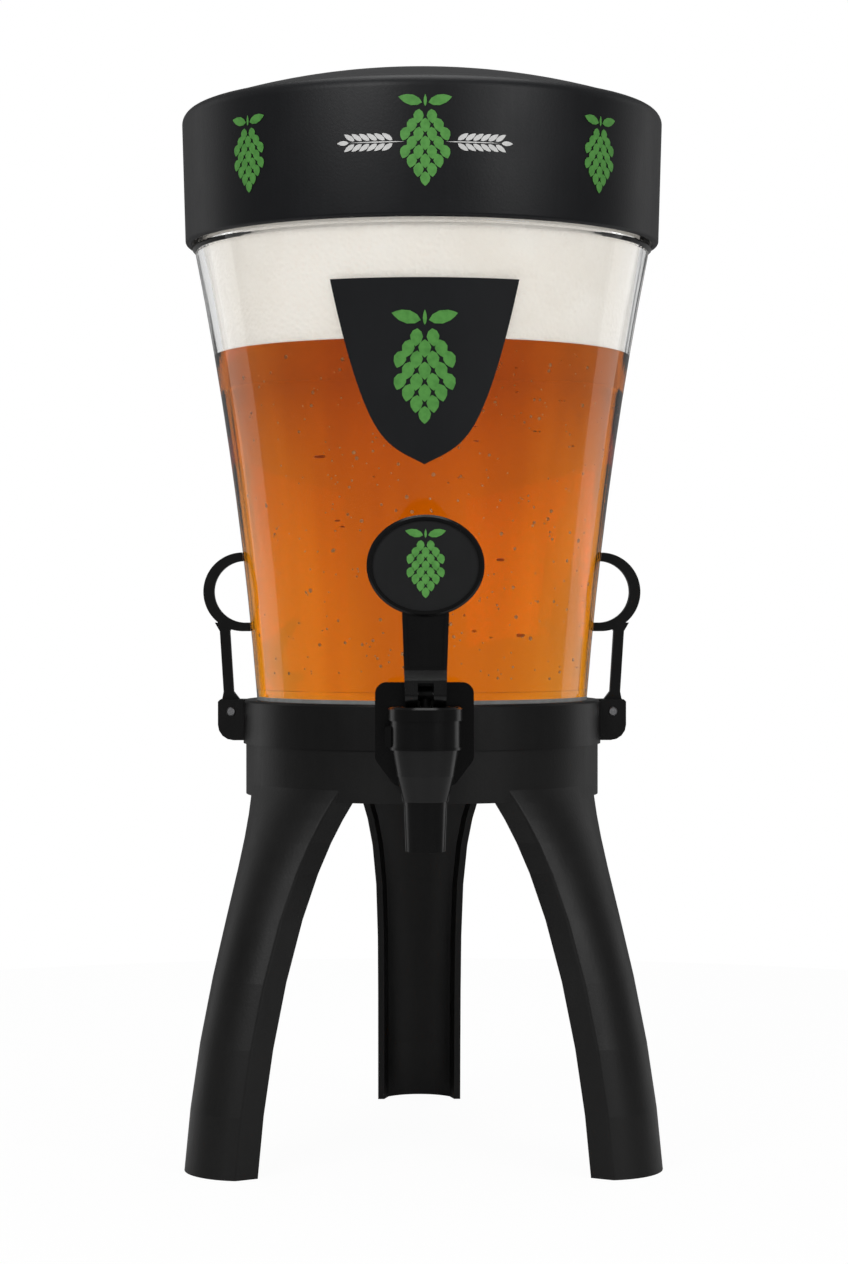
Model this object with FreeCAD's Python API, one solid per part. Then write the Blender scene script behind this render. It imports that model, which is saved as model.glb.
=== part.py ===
import FreeCAD, Part
import math
import os

# A free-standing drink tower: a clear vessel with a lift-off lid, a lever tap and two
# hinged side hooks, on a stand whose hub and three channel legs are one moulding.
# Millimetres. The floor is z = 0, the vessel's axis is the Z axis and the tap faces -Y.

Vector = FreeCAD.Vector
up = Vector(0, 0, 1)
forward = Vector(0, -1, 0)
sideways = Vector(1, 0, 0)

running_clearance = 0.05
pin_clearance = 0.02
fit_clearance = 0.3
overshoot = 1.0

# How many straight bands stand for a rounding
corner_bands = 2
edge_bands = 3
dome_bands = 3
ceiling_bands = 2
label_bands = 3
lug_bands = 4
coil_steps = 16

# Stand
hub_bottom = 146.4
hub_height = 21.0
hub_radius = 73.7
hub_wall = 3.0
spigot_height = 3.4
spigot_wall = 2.2
notch_clearance = 1.5
front_leg_azimuth = 50.0
rear_leg_azimuth = 180.0
leg_root_rise = 5.0
foot_radius = 117.0
leg_bow = 7.3
foot_half_width = 16.8
shoulder_half_width = 29.0
shoulder_flare_power = 6.5
foot_crown = 6.5
flange_depth = 9.5
flange_splay = 1.9
leg_wall = 2.8
leg_corner_radius = 2.0
leg_stations = (0.0, 0.035, 0.08, 0.14, 0.22, 0.34, 0.5, 0.67, 0.84, 1.0)

# Collar
collar_height = 18.1
collar_radius = 74.8
collar_wall = 3.0
collar_flange = 2.5
collar_edge = 0.9
flange_clearance = 0.9
gasket_clearance = 1.2
pad_half_width = 13.0
pad_thickness = 7.8
pad_stand_out = 1.2

# Vessel
vessel_wall = 3.2
sump_radius = 66.0
sump_depth = 28.5
sump_corner = 5.0
seat_gasket_height = 1.5
base_radius = 69.2
waist_radius = 80.5
shoulder_radius = 94.9
waist_rise = 101.0
shoulder_rise = 185.0
bead_radius = 96.1
bead_height = 2.4
rim_radius = 95.0
rim_height = 38.6
boss_radius = 10.0
boss_thickness = 5.8

# Lid
lid_fit = 0.6
lid_draft = 1.4
lid_mouth_drop = 38.0
lid_head_room = 12.0
lid_edge_radius = 5.3
dome_rise = 15.9
lid_wall = 2.5
lip_width = 3.4
lip_height = 3.4
stop_rib_wall = 2.6

# Side hooks and their lugs
hook_pin_reach = 79.8
hook_pin_drop = 5.0
hook_pin_radius = 1.5
pin_head_rise = 0.6
pin_head_radius = 1.9
lug_reach = 85.3
lug_drop = 17.0
lug_corner = 6.5
cheek_wall = 3.0
hook_thickness = 6.0
hook_eye_radius = 4.1
loop_radius = 16.5
loop_bore_radius = 12.9
loop_bore_shift = 0.9
loop_reach = 75.1
loop_rise = 50.0
hook_arm_width = 4.2
loop_end = 2.0
arm_foot_reach = 81.0
arm_top_reach = 82.6

# Tap: shank, plate and body
tap_reach = 106.0
shank_rise = 7.1
shank_radius = 5.0
shank_tail = 8.4
inlet_radius = 3.5
plate_half_width = 19.4
plate_top_rise = 20.2
plate_shoulder_drop = 10.2
plate_bottom_drop = 20.7
plate_bottom_half_width = 11.5
plate_corner = 4.5
plate_thickness = 3.0
plate_field_inset = 3.4
plate_field_rise = 0.8
field_bottom_share = 0.6
field_shoulder_share = 0.2
field_corner_share = 0.25
barrel_radius = 6.2
barrel_flange_radius = 8.6
barrel_flange = 2.0
body_radius = 13.4
body_rim_radius = 13.8
body_rim = 1.0
body_top_rise = 6.3
body_shoulder_drop = 4.9
taper_top_radius = 12.8
taper_middle_radius = 11.1
taper_bottom_radius = 8.7
taper_length = 19.9
nozzle_top_radius = 8.3
nozzle_tip_radius = 7.6
nozzle_length = 19.0
outlet_radius = 5.5
chamber_radius = 8.4
seat_rise = 10.3
neck_radius = 12.2
neck_height = 1.8
ear_width = 2.2
ear_height = 8.0
ear_depth = 5.0
ear_corner = 1.98
gasket_radius = 8.2
outer_gasket_thickness = 2.0
inner_gasket_thickness = 1.5
nut_across_flats = 17.0
nut_thickness = 5.0

# Tap: bonnet, valve and lever
bonnet_radius = 14.2
bonnet_wall = 2.2
bonnet_edge = 0.8
seal_thickness = 1.2
stem_radius = 2.0
stem_collar_radius = 4.6
stem_collar_thickness = 1.4
plug_radius = 7.0
plug_height = 4.2
plug_edge = 0.8
eye_radius = 2.7
eye_width = 5.4
spring_wire = 0.9
spring_radius = 5.3
spring_turns = 4.0
pin_rise = 5.0
lever_pin_radius = 1.2
lever_pin_length = 12.0
heel_gap = 0.3
nose_reach = 6.0
nose_crest = 3.29
nose_rise = 1.0
lever_back_depth = 5.0
lever_slot_width = 6.1
lever_slot_height = 4.3
lever_foot_half_width = 7.9
lever_head_half_width = 9.0
lever_length = 31.0
lever_head_depth = 7.6
lever_panel_margin = 1.6
lever_panel_depth = 0.8
head_width = 45.1
head_height = 38.9
head_rise = 49.0
head_thickness = 7.0
head_stand_out = 1.0
head_edge = 0.9
head_rim = 2.1
badge_recess = 2.0
badge_thickness = 1.2

# Front label
label_top_half_width = 36.9
label_middle_half_width = 27.2
label_top_rise = 165.3
label_middle_rise = 126.5
label_tip_rise = 93.0
label_thickness = 0.4
label_gap = 0.12
label_margin = 5.0

# Heights that follow from the sizes above
hub_top = hub_bottom + hub_height
collar_top = hub_top + collar_height
base_z = collar_top + seat_gasket_height
waist_z = base_z + waist_rise
shoulder_z = base_z + shoulder_rise
rim_bottom = shoulder_z + bead_height
rim_top = rim_bottom + rim_height
sump_bottom = base_z - sump_depth
shank_z = hub_top + shank_rise
pin_z = shank_z + body_top_rise + neck_height + seal_thickness + bonnet_wall + pin_rise
bonnet_top = pin_z - pin_rise
body_top = shank_z + body_top_rise
body_bottom = shank_z - body_shoulder_drop
taper_bottom = body_bottom - taper_length
nozzle_tip = taper_bottom - nozzle_length
seat_z = taper_bottom + seat_rise
neck_top = body_top + neck_height
plate_back = collar_radius + pad_stand_out
plate_front = plate_back + plate_thickness
pad_inner = plate_back - pad_thickness
boss_face = pad_inner - outer_gasket_thickness
boss_inner = boss_face - boss_thickness
shank_end = boss_inner - shank_tail
lid_mouth_radius = rim_radius + lid_fit + lip_width
lid_radius = lid_mouth_radius + lid_draft
lever_front = tap_reach + lever_head_depth - lever_back_depth / 2
head_front = lever_front + (head_thickness - lever_head_depth) / 2 + head_stand_out


def arc(first, middle, last):
    return Part.Arc(first, middle, last).toShape()


def line(first, last):
    return Part.LineSegment(first, last).toShape()


def chords(first, middle, last, count):
    """An arc as a few straight edges, which keep a small rounding light."""
    spots = arc(first, middle, last).discretize(count + 1)
    return [line(*pair) for pair in zip(spots, spots[1:])]


def point(radius, z):
    return Vector(radius, 0, z)


def revolve(edges):
    """Turn a closed outline in the XZ plane about the Z axis."""
    face = Part.Face(Part.Wire(edges))
    solid = face.revolve(Vector(0, 0, 0), up, 360)
    return solid if solid.Volume > 0 else solid.reversed()


def ring(outer, inner, low, high):
    """A flat ring round the Z axis."""
    body = Part.makeCylinder(outer, high - low, Vector(0, 0, low), up)
    return body.cut(Part.makeCylinder(inner, high - low, Vector(0, 0, low), up))


def bar(radius, start, end, z):
    """A round bar towards the front, from start to end in distance from the axis."""
    return Part.makeCylinder(radius, end - start, Vector(0, -start, z), forward)


def box(low, high):
    size = Vector(*high) - Vector(*low)
    return Part.makeBox(size.x, size.y, size.z, Vector(*low))


def prism(outline, half_thickness):
    """Extrude an outline in the XZ plane by the same amount to the front and back."""
    face = Part.Face(Part.makePolygon([point(x, z) for x, z in outline + outline[:1]]))
    face.translate(Vector(0, half_thickness, 0))
    return face.extrude(forward * (2 * half_thickness))


def upright_edges(solid, direction, chosen):
    """The straight edges along one direction whose middles pass a test."""
    found = []
    for edge in solid.Edges:
        run = edge.Vertexes[-1].Point - edge.Vertexes[0].Point
        if run.Length < 1e-6:
            continue
        if abs(run.normalize().dot(direction)) > 0.999 and chosen(edge.CenterOfMass):
            found.append(edge)
    return found


def leg_radius(fall):
    """Distance of the leg's outer face from the axis, from its root (0) to the floor (1)."""
    straight = hub_radius + (foot_radius - hub_radius) * fall
    return straight + 4 * leg_bow * fall * (1 - fall)


def leg_section(fall, root_z):
    """One level cut through a leg: an arched web, two splayed flanges, rounded corners."""
    z = root_z * (1 - fall)
    flare = (1 - fall) ** shoulder_flare_power
    half = foot_half_width + (shoulder_half_width - foot_half_width) * flare
    root_crown = hub_radius - math.sqrt(hub_radius ** 2 - shoulder_half_width ** 2)
    crown = root_crown + (foot_crown - root_crown) * fall
    apex = leg_radius(fall) - running_clearance * (1 - fall)
    web_radius = (crown ** 2 + half ** 2) / (2 * crown)
    centre = apex - web_radius
    corner = apex - crown

    # The corner arc touches the web's arc and the flange's line
    run = Vector(-flange_depth, flange_splay, 0).normalize()
    inward = Vector(-run.y, run.x, 0)
    start = Vector(corner, half, 0) + inward * leg_corner_radius
    offset = start - Vector(centre, 0, 0)
    along = offset.dot(run)
    reach = web_radius - leg_corner_radius
    slide = -along - math.sqrt(along ** 2 - offset.dot(offset) + reach ** 2)
    bend_centre = start + run * slide
    outward = (bend_centre - Vector(centre, 0, 0)).normalize()
    on_web = bend_centre + outward * leg_corner_radius
    on_flange = bend_centre - inward * leg_corner_radius
    halfway = (outward - inward).normalize()
    on_bend = bend_centre + halfway * leg_corner_radius

    tip = Vector(corner - flange_depth, half + flange_splay, 0)
    tip_inner = tip - Vector(0, leg_wall, 0)
    inner_corner = Vector(corner - leg_wall, half - leg_wall, 0)

    def place(spot, side=1):
        return Vector(spot.x, spot.y * side, z)

    edges = [
        arc(place(on_web, -1), Vector(apex, 0, z), place(on_web)),
        arc(place(on_web), place(on_bend), place(on_flange)),
        line(place(on_flange), place(tip)),
        line(place(tip), place(tip_inner)),
        line(place(tip_inner), place(inner_corner)),
        arc(place(inner_corner), Vector(apex - leg_wall, 0, z), place(inner_corner, -1)),
        line(place(inner_corner, -1), place(tip_inner, -1)),
        line(place(tip_inner, -1), place(tip, -1)),
        line(place(tip, -1), place(on_flange, -1)),
        arc(place(on_flange, -1), place(on_bend, -1), place(on_web, -1)),
    ]
    return Part.Wire(edges)


def make_leg(azimuth):
    """One channel leg, with its azimuth measured from the front."""
    root_z = hub_bottom + leg_root_rise
    leg = Part.makeLoft([leg_section(fall, root_z) for fall in leg_stations], True, True)
    leg.rotate(Vector(0, 0, 0), up, azimuth - 90)
    return leg


def make_stand():
    spigot_radius = collar_radius - collar_wall - fit_clearance
    hub = ring(hub_radius, hub_radius - hub_wall, hub_bottom, hub_top)
    for azimuth in (-front_leg_azimuth, front_leg_azimuth, rear_leg_azimuth):
        hub = hub.fuse(make_leg(azimuth))
    spigot = ring(spigot_radius, spigot_radius - spigot_wall,
                  hub_top - spigot_wall, hub_top + spigot_height)
    key = pad_half_width + notch_clearance
    notch = box((-key, -hub_radius, hub_top), (key, 0, hub_top + spigot_height))
    return hub.fuse(spigot.cut(notch)).removeSplitter()


def lug_outline():
    low = collar_top - lug_drop
    curve = []
    for step in range(lug_bands + 1):
        angle = math.radians(90 * step / lug_bands - 90)
        curve.append((lug_reach - lug_corner + lug_corner * math.cos(angle),
                      low + lug_corner + lug_corner * math.sin(angle)))
    inside = collar_radius - collar_wall
    return ([(inside, low)] + curve
            + [(lug_reach, collar_top - collar_edge), (lug_reach - collar_edge, collar_top),
               (inside, collar_top)])


def make_lug():
    """A pair of cheeks on the right side of the collar, bored for the hook's pin."""
    half = hook_thickness / 2 + fit_clearance + cheek_wall
    lug = prism(lug_outline(), half)
    slot_half = hook_thickness / 2 + fit_clearance
    slot_start = hook_pin_reach - hook_eye_radius - fit_clearance
    slot_low = collar_top - hook_pin_drop - hook_eye_radius - 2 * fit_clearance
    slot = box((slot_start, -slot_half, slot_low),
               (lug_reach + overshoot, slot_half, collar_top + overshoot))
    return lug.cut(slot)


def hook_pin_hole(radius, half_length):
    centre = Vector(hook_pin_reach, half_length, collar_top - hook_pin_drop)
    return Part.makeCylinder(radius, 2 * half_length, centre, forward)


def make_collar():
    outer = collar_radius
    inner = collar_radius - collar_wall
    flange_inner = sump_radius + flange_clearance
    wall = revolve([
        line(point(inner, hub_top), point(outer, hub_top)),
        line(point(outer, hub_top), point(outer, collar_top - collar_edge)),
        line(point(outer, collar_top - collar_edge), point(outer - collar_edge, collar_top)),
        line(point(outer - collar_edge, collar_top), point(flange_inner, collar_top)),
        line(point(flange_inner, collar_top), point(flange_inner, collar_top - collar_flange)),
        line(point(flange_inner, collar_top - collar_flange),
             point(inner, collar_top - collar_flange)),
        line(point(inner, collar_top - collar_flange), point(inner, hub_top)),
    ])
    pad = box((-pad_half_width, -plate_back, hub_top), (pad_half_width, -pad_inner, collar_top))
    lug = make_lug()
    other_lug = lug.mirror(Vector(0, 0, 0), sideways)
    collar = wall.fuse([pad, lug, other_lug])
    collar = collar.cut(bar(shank_radius + running_clearance, pad_inner - overshoot,
                            plate_back + overshoot, shank_z))
    hole = hook_pin_hole(hook_pin_radius + pin_clearance, hook_thickness * 2)
    return collar.cut([hole, hole.mirror(Vector(0, 0, 0), sideways)]).removeSplitter()


def vessel_curve():
    """Centre and radius of the arc that the vessel's flared side follows."""
    low = (base_radius, base_z)
    middle = (waist_radius, waist_z)
    top = (shoulder_radius, shoulder_z)
    a = middle[0] - low[0]
    b = middle[1] - low[1]
    c = top[0] - low[0]
    d = top[1] - low[1]
    e = (a * (middle[0] + low[0]) + b * (middle[1] + low[1])) / 2
    f = (c * (top[0] + low[0]) + d * (top[1] + low[1])) / 2
    centre_radius = (e * d - f * b) / (a * d - b * c)
    centre_z = (a * f - c * e) / (a * d - b * c)
    return centre_radius, centre_z, math.hypot(low[0] - centre_radius, low[1] - centre_z)


def vessel_radius(z, stand_out=0.0):
    """The flared side's radius at a height, or that of a skin that stands out from it."""
    centre_radius, centre_z, curve_radius = vessel_curve()
    return centre_radius - math.sqrt((curve_radius - stand_out) ** 2 - (z - centre_z) ** 2)


def side_spots(low, high, stand_out=0.0):
    """Three points of the flared side's profile, from one height to another."""
    middle = (low + high) / 2
    return [point(vessel_radius(z, stand_out), z) for z in (low, middle, high)]


def make_vessel():
    floor = sump_bottom + vessel_wall
    sump_inner = sump_radius - vessel_wall
    ledge = base_z + vessel_wall
    rim_inner = rim_radius - vessel_wall
    side_top = vessel_radius(shoulder_z, -vessel_wall)
    ledge_radius = vessel_radius(ledge, -vessel_wall)
    bend = sump_corner * (1 - math.sqrt(0.5))
    edges = [
        line(point(0, sump_bottom), point(sump_radius - sump_corner, sump_bottom)),
        *chords(point(sump_radius - sump_corner, sump_bottom),
                point(sump_radius - bend, sump_bottom + bend),
                point(sump_radius, sump_bottom + sump_corner), corner_bands),
        line(point(sump_radius, sump_bottom + sump_corner), point(sump_radius, base_z)),
        line(point(sump_radius, base_z), point(base_radius, base_z)),
        arc(*side_spots(base_z, shoulder_z)),
        *chords(point(shoulder_radius, shoulder_z),
                point(bead_radius, (shoulder_z + rim_bottom) / 2),
                point(rim_radius, rim_bottom), corner_bands),
        line(point(rim_radius, rim_bottom), point(rim_radius, rim_top)),
        line(point(rim_radius, rim_top), point(rim_inner, rim_top)),
        line(point(rim_inner, rim_top), point(rim_inner, rim_bottom)),
        line(point(rim_inner, rim_bottom), point(side_top, shoulder_z)),
        arc(*side_spots(shoulder_z, ledge, -vessel_wall)),
        line(point(ledge_radius, ledge), point(sump_inner, ledge)),
        line(point(sump_inner, ledge), point(sump_inner, floor)),
        line(point(sump_inner, floor), point(0, floor)),
        line(point(0, floor), point(0, sump_bottom)),
    ]
    boss = bar(boss_radius, boss_inner, boss_face, shank_z)
    hole = bar(shank_radius + running_clearance, boss_inner - overshoot, boss_face + overshoot,
               shank_z)
    return revolve(edges).fuse(boss).cut(hole).removeSplitter()


def make_lid():
    lip_bottom = rim_top - lid_mouth_drop
    skirt_low = lip_bottom + lip_width / 2
    skirt_high = rim_top + lid_head_room
    edge_top = skirt_high + lid_edge_radius
    dome_edge = lid_radius - lid_edge_radius
    apex = edge_top + dome_rise
    lip_inner = lid_mouth_radius - lip_width
    dome_radius = (dome_edge ** 2 + dome_rise ** 2) / (2 * dome_rise)
    half_edge = dome_edge / 2
    dome_drop = dome_radius - math.sqrt(dome_radius ** 2 - half_edge ** 2)
    bend = lid_edge_radius * (1 - math.sqrt(0.5))
    lip_top = lip_bottom + lip_height
    wall_mouth = lid_mouth_radius - lid_wall
    wall_top = lid_radius - lid_wall
    dome = [point(dome_edge, edge_top), point(half_edge, apex - dome_drop), point(0, apex)]
    ceiling = [spot - up * lid_wall for spot in reversed(dome)]
    edges = [
        *chords(point(lip_inner, skirt_low), point(lid_mouth_radius - lip_width / 2, lip_bottom),
                point(lid_mouth_radius, skirt_low), corner_bands),
        line(point(lid_mouth_radius, skirt_low), point(lid_radius, skirt_high)),
        *chords(point(lid_radius, skirt_high), point(lid_radius - bend, edge_top - bend),
                dome[0], edge_bands),
        *chords(*dome, dome_bands),
        line(dome[-1], ceiling[0]),
        *chords(*ceiling, ceiling_bands),
        line(ceiling[-1], point(wall_top, skirt_high)),
        line(point(wall_top, skirt_high), point(wall_mouth, lip_top)),
        line(point(wall_mouth, lip_top), point(lip_inner, lip_top)),
        line(point(lip_inner, lip_top), point(lip_inner, skirt_low)),
    ]
    rib = ring(rim_radius, rim_radius - stop_rib_wall, rim_top, edge_top - lid_wall / 2)
    return revolve(edges).fuse(rib).removeSplitter()


def vessel_keep_out():
    """The vessel's outside with a working gap, for shaping what leans against it."""
    side = side_spots(base_z, shoulder_z, fit_clearance)
    foot = point(0, base_z)
    head = point(0, shoulder_z)
    return revolve([line(foot, side[0]), arc(*side), line(side[-1], head), line(head, foot)])


def make_hook():
    """The right-hand hook: an eye, a slim arm and a C-shaped loop against the vessel."""
    half = hook_thickness / 2
    pin_centre_z = collar_top - hook_pin_drop
    loop_z = pin_centre_z + loop_rise
    loop_centre = Vector(loop_reach, half, loop_z)
    loop = Part.makeCylinder(loop_radius, hook_thickness, loop_centre, forward)
    bore_centre = loop_centre - Vector(loop_bore_shift, 0, 0)
    bore = Part.makeCylinder(loop_bore_radius, hook_thickness, bore_centre, forward)
    bar_height = loop_radius - loop_bore_radius
    loop = loop.cut(box((0, -half, loop_z - loop_radius), (loop_reach, half, loop_z + loop_radius)))
    top_bar = box((loop_reach - loop_end, -half, loop_z + loop_bore_radius),
                  (loop_reach, half, loop_z + loop_radius))
    low_bar = box((base_radius, -half, loop_z - loop_radius),
                  (loop_reach, half, loop_z - loop_radius + bar_height))
    arm_half = hook_arm_width / 2
    foot_z = pin_centre_z + hook_eye_radius * 2
    join_z = loop_z - loop_radius + bar_height
    arm = prism([
        (hook_pin_reach - hook_eye_radius, pin_centre_z),
        (hook_pin_reach + hook_eye_radius, pin_centre_z),
        (hook_pin_reach + hook_eye_radius, pin_centre_z + hook_eye_radius),
        (arm_foot_reach + arm_half, foot_z),
        (arm_top_reach + arm_half, join_z - bar_height),
        (arm_top_reach + 2 * arm_half, join_z),
        (arm_top_reach - 2 * arm_half, join_z),
        (arm_top_reach - arm_half, join_z - bar_height),
        (arm_foot_reach - arm_half, foot_z),
        (hook_pin_reach - hook_eye_radius, pin_centre_z + hook_eye_radius),
    ], half)
    eye_centre = Vector(hook_pin_reach, half, pin_centre_z)
    eye = Part.makeCylinder(hook_eye_radius, hook_thickness, eye_centre, forward)
    hook = loop.fuse([top_bar, low_bar, arm, eye]).cut(bore)
    hook = hook.cut(vessel_keep_out())
    hook = hook.cut(hook_pin_hole(hook_pin_radius + running_clearance, hook_thickness))
    return hook.removeSplitter()


def make_hook_pin():
    """A pin with a low bevelled head at each end, down on the cheeks."""
    half = hook_thickness / 2 + fit_clearance + cheek_wall
    pin = hook_pin_hole(hook_pin_radius, half)
    for side in (-1, 1):
        seat = Vector(hook_pin_reach, side * half, collar_top - hook_pin_drop)
        pin = pin.fuse(Part.makeCone(pin_head_radius, hook_pin_radius, pin_head_rise,
                                     seat, Vector(0, side, 0)))
    return pin.removeSplitter()


def plate_outline(inset):
    side = plate_half_width - inset
    bottom_side = plate_bottom_half_width - inset * field_bottom_share
    top = shank_z + plate_top_rise - inset
    shoulder = shank_z - plate_shoulder_drop + inset * field_shoulder_share
    bottom = shank_z - plate_bottom_drop + inset
    return [(-side, top), (side, top), (side, shoulder), (bottom_side, bottom),
            (-bottom_side, bottom), (-side, shoulder)]


def plate_slab(inset, back, front):
    """A slab with the plate's outline, from back to front in distance from the axis."""
    outline = plate_outline(inset)
    face = Part.Face(Part.makePolygon([point(x, z) for x, z in outline + outline[:1]]))
    face.translate(forward * back)
    slab = face.extrude(forward * (front - back))
    corners = upright_edges(slab, forward, lambda spot: True)
    return slab.makeFillet(plate_corner - inset * field_corner_share, corners)


def make_plate():
    plate = plate_slab(0.0, plate_back, plate_front)
    field = plate_slab(plate_field_inset, plate_back + plate_thickness / 2,
                       plate_front + plate_field_rise)
    hole = bar(shank_radius + running_clearance, plate_back - overshoot,
               plate_front + plate_field_rise + overshoot, shank_z)
    return plate.fuse(field).cut(hole).removeSplitter()


def at_tap(solid):
    solid.translate(Vector(0, -tap_reach, 0))
    return solid


def make_tap_body():
    taper_middle = (taper_bottom + body_bottom) / 2
    edges = [
        line(point(0, nozzle_tip), point(nozzle_tip_radius, nozzle_tip)),
        line(point(nozzle_tip_radius, nozzle_tip), point(nozzle_top_radius, taper_bottom)),
        line(point(nozzle_top_radius, taper_bottom), point(taper_bottom_radius, taper_bottom)),
        *chords(point(taper_bottom_radius, taper_bottom), point(taper_middle_radius, taper_middle),
                point(taper_top_radius, body_bottom), corner_bands),
        line(point(taper_top_radius, body_bottom), point(body_rim_radius, body_bottom)),
        line(point(body_rim_radius, body_bottom), point(body_rim_radius, body_bottom + body_rim)),
        line(point(body_rim_radius, body_bottom + body_rim),
             point(body_radius, body_bottom + body_rim)),
        line(point(body_radius, body_bottom + body_rim), point(body_radius, body_top)),
        line(point(body_radius, body_top), point(neck_radius, body_top)),
        line(point(neck_radius, body_top), point(neck_radius, neck_top)),
        line(point(neck_radius, neck_top), point(0, neck_top)),
        line(point(0, neck_top), point(0, nozzle_tip)),
    ]
    face_distance = plate_front + plate_field_rise
    barrel = bar(barrel_radius, face_distance, tap_reach, shank_z)
    flange = bar(barrel_flange_radius, face_distance, face_distance + barrel_flange, shank_z)
    shank = bar(shank_radius, shank_end, tap_reach, shank_z)
    ear = box((-body_radius - ear_width, -tap_reach - ear_depth / 2, body_bottom + body_rim),
              (0, -tap_reach + ear_depth / 2, body_bottom + body_rim + ear_height))
    ear_edges = upright_edges(ear, forward, lambda spot: spot.x < -body_radius)
    ear = ear.makeFillet(ear_corner, ear_edges)
    body = at_tap(revolve(edges)).fuse([barrel, flange, shank, ear])
    chamber = Part.makeCylinder(chamber_radius, neck_top - seat_z, Vector(0, 0, seat_z), up)
    outlet = Part.makeCylinder(outlet_radius, seat_z - nozzle_tip, Vector(0, 0, nozzle_tip), up)
    inlet = bar(inlet_radius, shank_end, tap_reach, shank_z)
    return body.cut([at_tap(chamber), at_tap(outlet), inlet]).removeSplitter()


def make_bonnet():
    """A screw cap over the tap body, with a hole for the stem."""
    skirt_inner = neck_radius + running_clearance
    ceiling = bonnet_top - bonnet_wall
    hole = stem_radius + running_clearance
    edges = [
        line(point(skirt_inner, body_top), point(bonnet_radius, body_top)),
        line(point(bonnet_radius, body_top), point(bonnet_radius, bonnet_top - bonnet_edge)),
        line(point(bonnet_radius, bonnet_top - bonnet_edge),
             point(bonnet_radius - bonnet_edge, bonnet_top)),
        line(point(bonnet_radius - bonnet_edge, bonnet_top), point(hole, bonnet_top)),
        line(point(hole, bonnet_top), point(hole, ceiling)),
        line(point(hole, ceiling), point(skirt_inner, ceiling)),
        line(point(skirt_inner, ceiling), point(skirt_inner, body_top)),
    ]
    return at_tap(revolve(edges))


def make_stem_seal():
    return at_tap(ring(neck_radius, stem_radius + running_clearance,
                       neck_top, neck_top + seal_thickness))


def make_stem():
    """The valve's rod, with a spring collar above the plug and a flat eye at the top."""
    collar_low = seat_z + plug_height
    rod_low = seat_z + plug_height / 3
    rod = Part.makeCylinder(stem_radius, pin_z - rod_low, Vector(0, 0, rod_low), up)
    collar = Part.makeCylinder(stem_collar_radius, stem_collar_thickness,
                               Vector(0, 0, collar_low), up)
    eye = Part.makeCylinder(eye_radius, eye_width, Vector(-eye_width / 2, 0, pin_z), sideways)
    hole = Part.makeCylinder(lever_pin_radius + running_clearance, eye_width * 2,
                             Vector(-eye_width, 0, pin_z), sideways)
    return at_tap(rod.fuse([collar, eye]).cut(hole).removeSplitter())


def make_plug():
    """The soft plug on the stem's foot that closes the seat."""
    rod_low = seat_z + plug_height / 3
    edges = [
        line(point(0, seat_z), point(plug_radius - plug_edge, seat_z)),
        line(point(plug_radius - plug_edge, seat_z), point(plug_radius, seat_z + plug_edge)),
        line(point(plug_radius, seat_z + plug_edge),
             point(plug_radius, seat_z + plug_height / 2)),
        line(point(plug_radius, seat_z + plug_height / 2),
             point(stem_collar_radius, seat_z + plug_height)),
        line(point(stem_collar_radius, seat_z + plug_height),
             point(stem_radius, seat_z + plug_height)),
        line(point(stem_radius, seat_z + plug_height), point(stem_radius, rod_low)),
        line(point(stem_radius, rod_low), point(0, rod_low)),
        line(point(0, rod_low), point(0, seat_z)),
    ]
    return at_tap(revolve(edges))


def make_spring():
    """A square-wire compression spring between the stem's collar and the seal."""
    low = seat_z + plug_height + stem_collar_thickness
    high = neck_top
    half = spring_wire / 2
    rise = high - low - spring_wire
    corners = ((-half, -half), (half, -half), (half, half), (-half, half), (-half, -half))
    steps = round(spring_turns * coil_steps)
    sections = []
    for step in range(steps + 1):
        centre_z = low + half + rise * step / steps
        section = Part.makePolygon([point(spring_radius + x, centre_z + z) for x, z in corners])
        section.rotate(Vector(0, 0, 0), up, 360 * step / coil_steps)
        sections.append(section)
    return at_tap(Part.makeLoft(sections, True, True))


def make_lever_pin():
    start = Vector(-lever_pin_length / 2, -tap_reach, pin_z)
    return Part.makeCylinder(lever_pin_radius, lever_pin_length, start, sideways)


def lever_taper(margin, low, high):
    """A prism towards the front whose width follows the lever's taper."""
    growth = (lever_head_half_width - lever_foot_half_width) / lever_length
    start = lever_foot_half_width + growth * (low - pin_z) - margin
    end = lever_foot_half_width + growth * (high - pin_z) - margin
    return [(-start, low), (start, low), (end, high), (-end, high)]


def head_ellipse(margin, back, front):
    """An oval slab of the handle's head, from back to front in distance from the axis."""
    wide = head_width / 2 - margin
    tall = head_height / 2 - margin
    centre = Vector(0, -back, pin_z + head_rise)
    oval = Part.Ellipse(centre + Vector(wide, 0, 0), centre + Vector(0, 0, tall), centre)
    face = Part.Face(Part.Wire(oval.toShape()))
    return face.extrude(forward * (front - back))


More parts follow.
